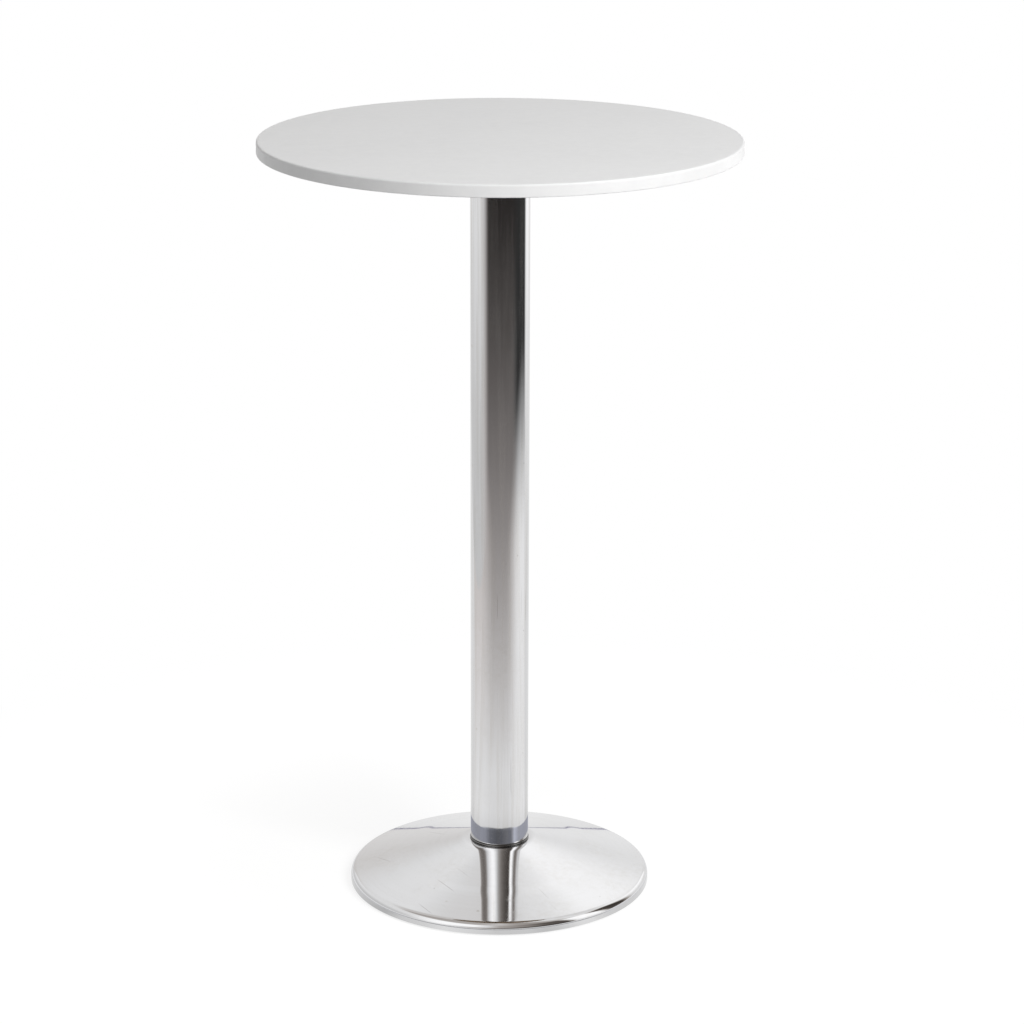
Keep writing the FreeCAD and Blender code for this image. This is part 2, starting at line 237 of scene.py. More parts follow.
# Pieces of the top


def face_sheet():
    """Laminate on the board: the profile of a flat disc with an eased upper edge, turned about Z."""
    radius, low, high, ease = SHEET_HIGH.x, SHEET_LOW.z, SHEET_HIGH.z, SHEET_EASE
    points = profile(
        straight((0, low), (radius, low)),
        straight((radius, low), (radius, high - ease)),
        arc((radius - ease, high - ease), ease, 0, 90, SHEET_ARC_STEPS),
        straight((radius - ease, high), (0, high)),
    )
    return turned("face_sheet", points, WIDE_SIDES, looped=False)


def edge_lipping():
    """Band round the board: a profile with a full upper arris and a small lower one, turned about Z."""
    outer, low, high = BOARD_HIGH.x, BOARD_LOW.z, BOARD_HIGH.z
    inner = outer - BAND_THICKNESS
    points = profile(
        straight((inner, low), (outer - LOWER_ARRIS, low)),
        arc((outer - LOWER_ARRIS, low + LOWER_ARRIS), LOWER_ARRIS, -90, 0),
        straight((outer, low + LOWER_ARRIS), (outer, high - UPPER_ARRIS)),
        arc((outer - UPPER_ARRIS, high - UPPER_ARRIS), UPPER_ARRIS, 0, 90),
        straight((outer - UPPER_ARRIS, high), (inner, high)),
        straight((inner, high), (inner, low)),
    )
    return turned("edge_lipping", points, WIDE_SIDES)


# Column and base


def tube_column():
    """Tube of the column: a profile with slightly rounded outer ends, turned about Z."""
    outer, low, high, ease = TUBE_HIGH.x, TUBE_LOW.z, TUBE_HIGH.z, TUBE_END_ROUND
    inner = outer - TUBE_WALL
    points = profile(
        straight((inner, low), (outer - ease, low)),
        arc((outer - ease, low + ease), ease, -90, 0, SMALL_ARC_STEPS),
        straight((outer, low + ease), (outer, high - ease)),
        arc((outer - ease, high - ease), ease, 0, 90, SMALL_ARC_STEPS),
        straight((outer - ease, high), (inner, high)),
        straight((inner, high), (inner, low)),
    )
    return turned("tube_column", points, TUBE_SIDES)


def foot_bead():
    """Ring under the column: a flat profile with a half-round outer edge, turned about Z."""
    outer, low, high = BEAD_HIGH.x, BEAD_LOW.z, BEAD_HIGH.z
    half = (high - low) / 2
    inner = TUBE_HIGH.x - BEAD_LAND
    points = profile(
        straight((inner, low), (outer - half, low)),
        arc((outer - half, low + half), half, -90, 90),
        straight((outer - half, high), (inner, high)),
        straight((inner, high), (inner, low)),
    )
    return turned("foot_bead", points, TUBE_SIDES)


def spun_generator(start, end):
    """The cover's long side from rim to neck: a straight line plus the ring that spinning left in it. The
    ring adds its rise times the difference of two shares: how far the radius has gone, eased, through the
    ring, and how far it has gone along the line."""
    share = np.linspace(0, 1, SPUN_STEPS + 1)[:, None]
    points = start + (end - start) * share
    inner, outer = SPUN_RING_RADII
    gone = np.clip((points[:, 0] - inner) / (outer - inner), 0, 1)
    points[:, 1] += SPUN_RING_RISE * (gone * gone * (3 - 2 * gone) - (1 - share[:, 0]))
    return points


def spun_cover():
    """Shell of the base, a profile turned about Z: a flat seat that rounds down into a straight cone, a rim
    rolled over and a short skirt. Outside, each stretch is tangent to the next."""
    outer, low, top = COVER_HIGH.x, COVER_LOW.z, COVER_HIGH.z
    neck = np.array([BEAD_HIGH.x + NECK_MARGIN, top - NECK_ROUND])
    roll = np.array([outer - RIM_ROLL, low + RIM_SKIRT])
    run, rise = roll - neck
    slope = math.asin((NECK_ROUND - RIM_ROLL) / math.hypot(run, rise)) - math.atan2(rise, run)
    lean = 90 - math.degrees(slope)
    out = np.array([math.sin(slope), math.cos(slope)])
    wall, edge = COVER_WALL, RIM_EDGE_ROUND
    points = profile(
        straight((COVER_BORE, top - wall), (neck[0], top - wall)),
        arc(neck, NECK_ROUND - wall, 90, lean),
        straight(neck + (NECK_ROUND - wall) * out, roll + (RIM_ROLL - wall) * out),
        arc(roll, RIM_ROLL - wall, lean, 0),
        straight((outer - wall, roll[1]), (outer - wall, low)),
        straight((outer - wall, low), (outer - edge, low)),
        arc((outer - edge, low + edge), edge, -90, 0, SMALL_ARC_STEPS),
        straight((outer, low + edge), (outer, roll[1])),
        arc(roll, RIM_ROLL, 0, lean, FINE_ARC_STEPS),
        spun_generator(roll + RIM_ROLL * out, neck + NECK_ROUND * out),
        arc(neck, NECK_ROUND, lean, 90),
        straight((neck[0], top), (COVER_BORE, top)),
        straight((COVER_BORE, top), (COVER_BORE, top - wall)),
    )
    return turned("spun_cover", points, WIDE_SIDES)


def threaded_rod():
    """Long rod with a chamfered thread at each end, in rows of radius and height about Z."""
    radius, low, high = ROD_HIGH.x, ROD_LOW.z, ROD_HIGH.z
    tip = radius - ROD_END_CHAMFER
    lower = low + ROD_END_CHAMFER
    upper = high - ROD_END_CHAMFER
    rows = [(0, low), (tip, low), (radius, lower)]
    rows += thread_rows(radius, ROD_PITCH, lower, lower + ROD_THREAD_LENGTH, SMALL_SIDES)
    rows += thread_rows(radius, ROD_PITCH, upper - ROD_THREAD_LENGTH, upper, SMALL_SIDES)
    rows += [(radius, upper), (tip, high), (0, high)]
    return skin("threaded_rod", lathe_rows(rows, SMALL_SIDES))


def cast_piece(name, cad_node):
    """A copy of a CAD node's mesh with its flat faces joined, ready for a casting's rounded edges."""
    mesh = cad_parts[cad_node].data.copy()
    mesh.name = name
    return tidied(mesh, flat_degrees=FLAT_DEGREES)


# Levelling glides


def glide_place(number):
    """The middle of a glide and the direction in which it stands from the column, in degrees."""
    low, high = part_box(f"glide_pad_{number}")
    x, y = (low.x + high.x) / 2, (low.y + high.y) / 2
    return x, y, math.degrees(math.atan2(y, x))


def glide_foot(number):
    """Round pad with ring grooves in its sole and a socket for the stud's head, turned about its middle."""
    low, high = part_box(f"glide_pad_{number}")
    radius, top = (high.x - low.x) / 2, high.z
    half, depth = PAD_GROOVE_HALF_WIDTH, PAD_GROOVE_DEPTH
    section = np.array([(-half, 0), (-half / 2, depth), (half / 2, depth), (half, 0)])
    grooves = [section + (ring, 0) for ring in PAD_GROOVE_RADII]
    neck = STUD_RADIUS + PAD_CLEARANCE
    socket = STUD_HEAD_RADIUS + PAD_CLEARANCE
    bottom = PAD_SOLE - PAD_SOCKET_EASE
    points = profile(
        [(0, 0)],
        *grooves,
        straight((PAD_GROOVE_RADII[-1] + PAD_GROOVE_HALF_WIDTH, 0), (radius - PAD_EDGE_ROUND, 0)),
        arc((radius - PAD_EDGE_ROUND, PAD_EDGE_ROUND), PAD_EDGE_ROUND, -90, 0, PAD_ARC_STEPS),
        straight((radius, PAD_EDGE_ROUND), (radius, PAD_RIM_HEIGHT)),
        straight((radius, PAD_RIM_HEIGHT), (PAD_CROWN_RADIUS, top)),
        straight((PAD_CROWN_RADIUS, top), (neck, top)),
        straight((neck, top), (neck, top - PAD_LIP)),
        straight((neck, top - PAD_LIP), (socket, top - PAD_LIP)),
        straight((socket, top - PAD_LIP), (socket, bottom)),
        straight((socket, bottom), (0, bottom)),
    )
    grid = lathe_rows(points, SMALL_SIDES)
    return skin(f"glide_foot_{number}", placed(grid, *glide_place(number)))


def glide_stud(number):
    """Stud with a flat head in the pad, a six-sided collar for a spanner and a thread up into the base, in
    rows of radius and height about its middle."""
    low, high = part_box(f"glide_stud_{number}")
    corner = STUD_HEX_FLATS / math.sqrt(3)
    eased = hexagon(STUD_HEX_FLATS, STUD_HEX_FLATS / 2 * STUD_HEX_FLAT_SHARE, SMALL_SIDES)
    full = hexagon(STUD_HEX_FLATS, corner, SMALL_SIDES)
    thread_top = high.z - STUD_END_CHAMFER
    rows = [
        (0, low.z),
        (STUD_HEAD_RADIUS, low.z),
        (STUD_HEAD_RADIUS, STUD_HEAD_TOP),
        (STUD_RADIUS, STUD_HEAD_TOP),
        (STUD_RADIUS, STUD_HEX_LOW),
        (eased, STUD_HEX_LOW),
        (full, STUD_HEX_LOW + STUD_HEX_CHAMFER),
        (full, STUD_HEX_HIGH - STUD_HEX_CHAMFER),
        (eased, STUD_HEX_HIGH),
        (STUD_RADIUS, STUD_HEX_HIGH),
    ]
    rows += thread_rows(STUD_RADIUS, STUD_PITCH, STUD_HEX_HIGH, thread_top, SMALL_SIDES)
    rows += [(STUD_RADIUS - STUD_END_CHAMFER, high.z), (0, high.z)]
    grid = lathe_rows(rows, SMALL_SIDES)
    return skin(f"glide_screw_{number}", placed(grid, *glide_place(number)))


# Shader nodes


def feed(tree, socket, value):
    """Gives an input socket its value, or a link where the value is another node's socket."""
    if isinstance(value, bpy.types.NodeSocket):
        tree.links.new(value, socket)
    else:
        socket.default_value = value


def node(tree, kind, inputs=(), **settings):
    """A new node with its settings and inputs."""
    made = tree.nodes.new(kind)
    for setting, value in settings.items():
        setattr(made, setting, value)
    for label, value in dict(inputs).items():
        feed(tree, made.inputs[label], value)
    return made


def math_node(tree, operation, *values):
    """The result of one arithmetic node on values or sockets."""
    return node(tree, "ShaderNodeMath", dict(enumerate(values)), operation=operation).outputs[0]


def scaled(tree, value, factor):
    """A value times a number or another value."""
    return math_node(tree, "MULTIPLY", value, factor)


def total(tree, first, *others):
    """The sum of values."""
    for other in others:
        first = math_node(tree, "ADD", first, other)
    return first


def strongest(tree, first, *others):
    """The largest of values."""
    for other in others:
        first = math_node(tree, "MAXIMUM", first, other)
    return first


def ranged(tree, value, start, end, low=0.0, high=1.0):
    """A value eased from low to high while it goes from start to end."""
    settings = {"Value": value, "From Min": start, "From Max": end, "To Min": low, "To Max": high}
    return node(tree, "ShaderNodeMapRange", settings, interpolation_type="SMOOTHSTEP").outputs[0]


def mixed(tree, share, first, second):
    """A colour between two colours."""
    return node(tree, "ShaderNodeMix", {0: share, 6: first, 7: second}, data_type="RGBA").outputs[2]


def noise(tree, vector, scale, detail=3.0, roughness=0.5):
    """Soft noise from 0 to 1."""
    inputs = {"Vector": vector, "Scale": scale, "Detail": detail, "Roughness": roughness}
    return node(tree, "ShaderNodeTexNoise", inputs).outputs[0]


def place(tree):
    """Object coordinates."""
    return node(tree, "ShaderNodeTexCoord").outputs["Object"]


def grey(level):
    """A neutral colour."""
    return (level, level, level, 1.0)


def effect(name, inputs, outputs):
    """An empty shader node group with its sockets, and its two end nodes."""
    tree = bpy.data.node_groups.new(name, "ShaderNodeTree")
    for label, kind in inputs.items():
        tree.interface.new_socket(name=label, in_out="INPUT", socket_type=kind)
    for label, kind in outputs.items():
        tree.interface.new_socket(name=label, in_out="OUTPUT", socket_type=kind)
    return tree, tree.nodes.new("NodeGroupInput").outputs, tree.nodes.new("NodeGroupOutput").inputs


def use(tree, group, **inputs):
    """A shader node group placed in a material, with its inputs named in lower case; gives its outputs."""
    made = tree.nodes.new("ShaderNodeGroup")
    made.node_tree = group
    for label, value in inputs.items():
        feed(tree, made.inputs[label.capitalize()], value)
    return made.outputs


VALUE, VECTOR = "NodeSocketFloat", "NodeSocketVector"

# Where the noise of the effects starts and ends to show, and how fine it is
PATCH_EDGES = (0.42, 0.68)
PATCH_DETAIL = 2.0
SMEAR_EDGES = (0.3, 0.75)
SMEAR_FINENESS = 7.0
SMEAR_DETAIL = 5.0
SMEAR_ROUGHNESS = 0.65
DOT_EDGES = (1.0, 0.5)
LINE_DETAIL = 4.0
LINE_ROUGHNESS = 0.6
SCRATCH_FREQUENCY = (700.0, 9.0, 9.0)
SCRATCH_DETAIL = 1.0
SCRATCH_EDGES = (0.75, 0.80)
PEBBLE_DETAIL = 3.0
PEBBLE_ROUGHNESS = 0.55
PEBBLE_WEIGHT = 0.7
BROAD_FINENESS = 0.12
TONE_EDGES = (0.3, 0.7)


def wiping_marks():
    """Group: patchy smears of handling and wiping. Fine noise that shows only inside broad noise patches."""
    tree, given, put = effect("wiping_marks", {"Vector": VECTOR, "Size": VALUE}, {"Mask": VALUE})
    patches = ranged(tree, noise(tree, given["Vector"], given["Size"], PATCH_DETAIL), *PATCH_EDGES)
    finer = scaled(tree, given["Size"], SMEAR_FINENESS)
    smears = noise(tree, given["Vector"], finer, SMEAR_DETAIL, SMEAR_ROUGHNESS)
    tree.links.new(scaled(tree, patches, ranged(tree, smears, *SMEAR_EDGES)), put["Mask"])
    return tree


def fine_specks():
    """Group: small dots scattered over a surface. Round cells, of which a share hold a dot of a given
    reach."""
    inputs = {"Vector": VECTOR, "Size": VALUE, "Share": VALUE, "Reach": VALUE}
    tree, given, put = effect("fine_specks", inputs, {"Mask": VALUE})
    cells = node(tree, "ShaderNodeTexVoronoi", {"Vector": given["Vector"], "Scale": given["Size"]})
    chance = node(tree, "ShaderNodeSeparateColor", {"Color": cells.outputs["Color"]}).outputs[0]
    chosen = math_node(tree, "LESS_THAN", chance, given["Share"])
    edge = math_node(tree, "DIVIDE", cells.outputs["Distance"], given["Reach"])
    tree.links.new(scaled(tree, chosen, ranged(tree, edge, *DOT_EDGES)), put["Mask"])
    return tree


def polish_lines():
    """Group: fine lines left by polishing. Noise that changes fast across the lines and slowly along
    them."""
    inputs = {"Across": VALUE, "Along": VALUE, "Fineness": VALUE, "Stretch": VALUE}
    tree, given, put = effect("polish_lines", inputs, {"Height": VALUE})
    across = scaled(tree, given["Across"], given["Fineness"])
    slower = math_node(tree, "DIVIDE", given["Fineness"], given["Stretch"])
    along = scaled(tree, given["Along"], slower)
    vector = node(tree, "ShaderNodeCombineXYZ", {"X": across, "Y": along}).outputs[0]
    tree.links.new(noise(tree, vector, 1.0, LINE_DETAIL, LINE_ROUGHNESS), put["Height"])
    return tree


def hair_scratches():
    """Group: sparse straight scratches. Noise drawn out along one direction, of which only the crests
    show."""
    tree, given, put = effect("hair_scratches", {"Vector": VECTOR, "Turn": VALUE}, {"Mask": VALUE})
    inputs = {"Vector": given["Vector"], "Angle": given["Turn"]}
    slanted = node(tree, "ShaderNodeVectorRotate", inputs, rotation_type="Z_AXIS").outputs[0]
    inputs = {0: slanted, 1: SCRATCH_FREQUENCY}
    drawn_out = node(tree, "ShaderNodeVectorMath", inputs, operation="MULTIPLY").outputs[0]
    crests = noise(tree, drawn_out, 1.0, SCRATCH_DETAIL)
    tree.links.new(ranged(tree, crests, *SCRATCH_EDGES), put["Mask"])
    return tree


def moulded_grain():
    """Group: the pebbled skin of castings, coatings and plastics. Noise of two sizes, added for the height
    and the broad one alone for the tone."""
    outputs = {"Height": VALUE, "Tone": VALUE}
    tree, given, put = effect("moulded_grain", {"Vector": VECTOR, "Size": VALUE}, outputs)
    fine = noise(tree, given["Vector"], given["Size"], PEBBLE_DETAIL, PEBBLE_ROUGHNESS)
    broad = noise(tree, given["Vector"], scaled(tree, given["Size"], BROAD_FINENESS), PEBBLE_DETAIL)
    tree.links.new(total(tree, scaled(tree, fine, PEBBLE_WEIGHT), broad), put["Height"])
    tree.links.new(ranged(tree, broad, *TONE_EDGES), put["Tone"])
    return tree


MARKS = wiping_marks()
SPECKS = fine_specks()
LINES = polish_lines()
SCRATCHES = hair_scratches()
GRAIN = moulded_grain()


# Finishes


def finish(name):
    """An empty material's node tree, with its Principled shader joined to the output."""
    material = bpy.data.materials.new(name)
    material.use_nodes = True
    tree = material.node_tree
    tree.nodes.clear()
    shader = tree.nodes.new("ShaderNodeBsdfPrincipled")
    output = tree.nodes.new("ShaderNodeOutputMaterial")
    tree.links.new(shader.outputs[0], output.inputs[0])
    return material, tree, shader.inputs


def bumped(tree, sockets, height, depth=1.0):
    """Joins a bump to a shader's normal: a height times a depth in metres."""
    inputs = {"Height": height, "Distance": depth, "Strength": 1.0}
    bump = node(tree, "ShaderNodeBump", inputs)
    tree.links.new(bump.outputs[0], sockets["Normal"])


def round_place(tree):
    """Angle about Z in radians, distance from it and height, from Object coordinates."""
    split = node(tree, "ShaderNodeSeparateXYZ", {0: place(tree)}).outputs
    angle = math_node(tree, "ARCTAN2", split["Y"], split["X"])
    squares = [scaled(tree, split[axis], split[axis]) for axis in "XY"]
    radius = math_node(tree, "SQRT", total(tree, *squares))
    return angle, radius, split["Z"]


# Sizes and finenesses count features to a metre, depths are metres and the scratches' turn is radians
CHROME = (0.66, 0.66, 0.668, 1.0)
CHROME_WORN = (0.53, 0.51, 0.475, 1.0)
CHROME_PITTED = (0.16, 0.14, 0.12, 1.0)
# Darker copies of the chrome for the foot bead: painted shade that stands in for the dark surroundings it
# reflects
CHROME_PAINTED_SHADE = (0.15, 0.147, 0.143, 1.0)
CHROME_PAINTED_SHADE_WORN = (0.06, 0.05, 0.045, 1.0)
CHROME_ROUGHNESS = 0.025
POLISH = {"fineness": 900.0, "stretch": 250.0}
LINE_DEPTH = 0.0000025
STREAKS = {"fineness": 150.0, "stretch": 40.0}
STREAK_EDGES = (0.42, 0.66)
TUBE_STREAKS = 0.30
SPUN_STREAKS = 0.06
STREAK_HAZE = 0.2
CHROME_MARK_SIZE = 16.0
PITS = {"size": 130.0, "share": 0.03, "reach": 0.10}
DROPS = {"size": 24.0, "share": 0.5, "reach": 0.075}
SCRATCH_TURN = -0.62
WAVE_SIZE = 22.0
WAVE_DETAIL = 1.0
WAVE_DEPTH = 0.00003
# How far marks and drops turn the colour to the worn one, and pits and scratches to the pitted one
MARK_DULLS, DROP_DULLS = 0.28, 0.6
PIT_DARKENS, SCRATCH_DARKENS = 0.8, 0.45
# What each adds to the roughness
MARK_ROUGHENS, LINE_ROUGHENS, PIT_ROUGHENS, DROP_ROUGHENS = 0.05, 0.03, 0.2, 0.12


def chrome(name, lengthwise, bright=CHROME, worn=CHROME_WORN):
    """Chrome plate, slightly wavy, with wiping marks, dried drops, specks and scratches. It is bright by
    default; darker plate colours give it painted shade. Its faint polishing lines and hazy streaks run up a
    tube or round a spun shell."""
    material, tree, sockets = finish(name)
    vector = place(tree)
    angle, radius, height = round_place(tree)
    across = scaled(tree, angle, TUBE_HIGH.x) if lengthwise else radius
    along = height if lengthwise else scaled(tree, angle, radius)
    lines = use(tree, LINES, across=across, along=along, **POLISH)["Height"]
    streaks = use(tree, LINES, across=across, along=along, **STREAKS)["Height"]
    streak_share = TUBE_STREAKS if lengthwise else SPUN_STREAKS
    streaked = scaled(tree, ranged(tree, streaks, *STREAK_EDGES), streak_share)
    marks = use(tree, MARKS, vector=vector, size=CHROME_MARK_SIZE)["Mask"]
    pits = use(tree, SPECKS, vector=vector, **PITS)["Mask"]
    drops = use(tree, SPECKS, vector=vector, **DROPS)["Mask"]
    scratches = use(tree, SCRATCHES, vector=vector, turn=SCRATCH_TURN)["Mask"]
    dull = strongest(tree, streaked, scaled(tree, marks, MARK_DULLS), scaled(tree, drops, DROP_DULLS))
    dark = strongest(tree, scaled(tree, pits, PIT_DARKENS), scaled(tree, scratches, SCRATCH_DARKENS))
    plate = mixed(tree, dull, bright, worn)
    tree.links.new(mixed(tree, dark, plate, CHROME_PITTED), sockets["Base Color"])
    rough = total(
        tree,
        scaled(tree, marks, MARK_ROUGHENS),
        scaled(tree, lines, LINE_ROUGHENS),
        scaled(tree, pits, PIT_ROUGHENS),
        scaled(tree, drops, DROP_ROUGHENS),
        CHROME_ROUGHNESS,
    )
    tree.links.new(rough, sockets["Roughness"])
    haze = scaled(tree, streaked, STREAK_HAZE)
    tree.links.new(math_node(tree, "SUBTRACT", 1.0, haze), sockets["Metallic"])
    waves = scaled(tree, noise(tree, vector, WAVE_SIZE, WAVE_DETAIL), WAVE_DEPTH)
    bumped(tree, sockets, total(tree, scaled(tree, lines, LINE_DEPTH), waves))
    return material


WHITE_MARKS = 0.3
WHITE_GRAIN_DEPTH = 0.00002


def white_plastic(name, tones, worn, grain_size, mark_size, roughness, mark_roughens):
    """Satin white plastic with a fine texture, faint mottling between two tones, and wiping marks."""
    material, tree, sockets = finish(name)
    vector = place(tree)
    grain = use(tree, GRAIN, vector=vector, size=grain_size)
    marks = use(tree, MARKS, vector=vector, size=mark_size)["Mask"]
    tone = mixed(tree, grain["Tone"], *tones)
    tree.links.new(mixed(tree, scaled(tree, marks, WHITE_MARKS), tone, worn), sockets["Base Color"])
    tree.links.new(total(tree, scaled(tree, marks, mark_roughens), roughness), sockets["Roughness"])
    bumped(tree, sockets, grain["Height"], WHITE_GRAIN_DEPTH)
    return material


WEAR_FINENESS = 0.06
WEAR_SHARE = 0.5
WEAR_ROUGHENS = 0.2


def grained(name, dark, light, roughness, size, depth, metallic=0.0):
    """A plain finish with pebbled grain: its tone varies between two colours with the grain and with
    wiping marks, which also take off gloss."""
    material, tree, sockets = finish(name)
    vector = place(tree)
    grain = use(tree, GRAIN, vector=vector, size=size)
    marks = use(tree, MARKS, vector=vector, size=size * WEAR_FINENESS)["Mask"]
    worn = scaled(tree, marks, WEAR_SHARE)
    tone = strongest(tree, grain["Tone"], worn)
    tree.links.new(mixed(tree, tone, dark, light), sockets["Base Color"])
    tree.links.new(total(tree, scaled(tree, worn, WEAR_ROUGHENS), roughness), sockets["Roughness"])
    sockets["Metallic"].default_value = metallic
    bumped(tree, sockets, grain["Height"], depth)
    return material


CHIP_FINENESS = 420.0
CHIP_DARK = (0.30, 0.18, 0.09, 1.0)
CHIP_LIGHT = (0.56, 0.39, 0.22, 1.0)
CHIP_ROUGHNESS = (0.75, 0.9)
CHIP_DEPTH = 0.0003


def particle_board():
    """Pressed chips: angular cells of several wood tones."""
    material, tree, sockets = finish("particle_board")
    inputs = {"Vector": place(tree), "Scale": CHIP_FINENESS}
    chips = node(tree, "ShaderNodeTexVoronoi", inputs, distance="CHEBYCHEV").outputs
    tone = node(tree, "ShaderNodeSeparateColor", {"Color": chips["Color"]}).outputs[0]
    tree.links.new(mixed(tree, tone, CHIP_DARK, CHIP_LIGHT), sockets["Base Color"])
    tree.links.new(ranged(tree, tone, 0.0, 1.0, *CHIP_ROUGHNESS), sockets["Roughness"])
    bumped(tree, sockets, chips["Distance"], CHIP_DEPTH)
    return material


BACKER_DARK, BACKER_LIGHT = (0.40, 0.29, 0.19, 1.0), (0.47, 0.35, 0.24, 1.0)
ZINC_DARK, ZINC_LIGHT = (0.52, 0.53, 0.55, 1.0), (0.66, 0.66, 0.64, 1.0)
FINISHES = {
    "chrome_tube": chrome("chrome_tube", lengthwise=True),
    "chrome_spun": chrome("chrome_spun", lengthwise=False),
    # The foot bead's chrome takes the darker copies: painted shade
    "chrome_bead_painted_shade": chrome("chrome_bead_painted_shade", False, CHROME_PAINTED_SHADE, CHROME_PAINTED_SHADE_WORN),
    "white_laminate": white_plastic(
        "white_laminate",
        tones=(grey(0.795), grey(0.81)),
        worn=grey(0.77),
        grain_size=900.0,
        mark_size=6.0,
        roughness=0.42,
        mark_roughens=0.08,
    ),
    "white_edging": white_plastic(
        "white_edging",
        tones=(grey(0.79), grey(0.81)),
        worn=grey(0.74),
        grain_size=500.0,
        mark_size=22.0,
        roughness=0.34,
        mark_roughens=0.1,
    ),
    "brown_backer": grained(
        "brown_backer", BACKER_DARK, BACKER_LIGHT, roughness=0.5, size=300.0, depth=0.00003
    ),
    "black_casting": grained(
        "black_casting", grey(0.012), grey(0.022), roughness=0.42, size=700.0, depth=0.00012
    ),
    "grey_casting": grained(
        "grey_casting", grey(0.10), grey(0.17), roughness=0.62, size=420.0, depth=0.0003
    ),
    "zinc_steel": grained(
        "zinc_steel", ZINC_DARK, ZINC_LIGHT, roughness=0.27, size=900.0, depth=0.00001, metallic=1.0
    ),
    "black_nylon": grained(
        "black_nylon", grey(0.014), grey(0.024), roughness=0.46, size=1100.0, depth=0.00003
    ),
    "particle_board": particle_board(),
}


# Dressing the frame

dressed(face_sheet(), FINISHES["white_laminate"], "table", "top_laminate")
dressed(edge_lipping(), FINISHES["white_edging"], "table", "edge_band")
dressed(tube_column(), FINISHES["chrome_tube"], "table", "column_tube")
dressed(foot_bead(), FINISHES["chrome_bead_painted_shade"], "table", "foot_collar")
dressed(spun_cover(), FINISHES["chrome_spun"], "table", "base_cover")
dressed(threaded_rod(), FINISHES["zinc_steel"], "table", "tie_rod")
for name, node_name, slot in (
    ("spider_casting", "spider_plate", "black_casting"),
    ("ballast_casting", "ballast", "grey_casting"),
):
    casting = dressed(cast_piece(name, node_name), FINISHES[slot], "table", node_name)
    rounding = casting.modifiers.new("rounded_edges", "BEVEL")
    rounding.width = CAST_EDGE_ROUND
    rounding.segments = CAST_EDGE_SEGMENTS
    rounding.limit_method = "ANGLE"
    rounding.angle_limit = math.radians(SHARP_DEGREES)
for number in range(1, GLIDE_COUNT + 1):
    foot, stud = glide_foot(number), glide_stud(number)
    dressed(foot, FINISHES["black_nylon"], f"glide_{number}", f"glide_pad_{number}")
    dressed(stud, FINISHES["zinc_steel"], f"stud_{number}", f"glide_stud_{number}")

CARRIED_OVER = {
    "top_core": "particle_board",
    "backer_laminate": "brown_backer",
    "spider_screws": "zinc_steel",
    "upper_centring_cap": "black_nylon",
    "lower_centring_cap": "black_nylon",
    "upper_nut": "zinc_steel",
    "upper_lock_washer": "zinc_steel",
    "upper_washer": "zinc_steel",
    "lower_nut": "zinc_steel",
    "lower_lock_washer": "zinc_steel",
    "lower_washer": "zinc_steel",
}
for node_name, slot in CARRIED_OVER.items():
    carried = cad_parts[node_name]
    carried.data.materials.clear()
    carried.data.materials.append(FINISHES[slot])


# Stage: a white floor, and cards and a studio that only reflections see.
# Bearings go round the table in degrees from the front, positive to the right.

FLOOR_REACH = 300.0
FLOOR_PAPER = grey(0.65)
SHADOW_NEAR = 0.3
SHADOW_FAR = 1.0
SHADOW_WHITE_SHARE = 0.6
SHADOW_WHITE_LEVEL = 1.35
# The mirrored floor's levels: where each starts to fall off, and over which length
AHEAD_FADE = (0.45, 1.25)
LEFT_FADE = (0.3, 3.8)
LEFT_LEVEL = 1.1
RIGHT_LEVELS = (0.04, 1.14)
RIGHT_BRIGHT_REACH = 1.4
RIGHT_DARK_REACH = (2.55, 3.2)
RIGHT_DARK_BEARINGS = (55, 100)
FLOOR_BEHIND = 0.95
BEHIND_BEARINGS = (108, 124)
# Bearings between which the floor ahead turns into the floor at the sides, near the table and far from it
SPAN_REACH = (1.4, 2.2)
LEFT_SPAN = ((-16, -84), (-40, -69))
RIGHT_SPAN = ((22, 84), (46, 76))
# Painted shadow: the mirrored floor is darkened close round the rim
UNDER_RIM_REACH = (0.2, 0.32)
UNDER_RIM_PAINTED_SHADOW = 0.86
SKIRT_REACH = (0.215, 0.225)
# Level of the floor that the skirt shows
SKIRT_FLOOR = (
    (-180, 1.0),
    (-70, 0.82),
    (-51, 0.72),
    (-42, 0.98),
    (-30, 1.09),
    (-22, 1.24),
    (-12, 1.14),
    (0, 1.0),
    (12, 1.0),
    (18, 0.90),
    (24, 1.0),
    (34, 1.23),
    (40, 1.22),
    (49, 1.0),
    (70, 0.93),
    (180, 1.0),
)
# A narrow strip of floor round the rim that the skirt shows as a dark line
SHADE_STRIP_START = 0.226
SHADE_STRIP_ENDS = (0.2435, 0.230)
SHADE_STRIP_BEARINGS = (25, 100)
# The floor's tint further in front, and where it has grown dim at a distance
FLOOR_WARM = (1.0, 0.90, 0.86, 1.0)
FLOOR_FAR_REACH = (5.5, 12.0)
FLOOR_FAR_LEVEL = 0.22
# Level of the floor where the chrome shows it by way of a second reflection
SECOND_MIRRORING = (
    (-180, 0.55),
    (-78, 0.50),
    (-55, 0.46),
    (-36, 0.24),
    (-5, 0.14),
    (20, 0.20),
    (46, 0.28),
    (60, 0.85),
    (78, 0.60),
    (180, 0.55),
)
SECOND_COLOUR = (0.93, 0.96, 1.10, 1.0)
# Lies between the glossy depths of a first and a second reflection
FIRST_GLOSSY_DEPTHS = 1.5


def ray_kinds(tree):
    """Light Path's outputs."""
    return node(tree, "ShaderNodeLightPath").outputs


def second_mirroring(tree, rays):
    """One where light comes by way of a second reflection, otherwise zero."""
    return math_node(tree, "GREATER_THAN", rays["Glossy Depth"], FIRST_GLOSSY_DEPTHS)


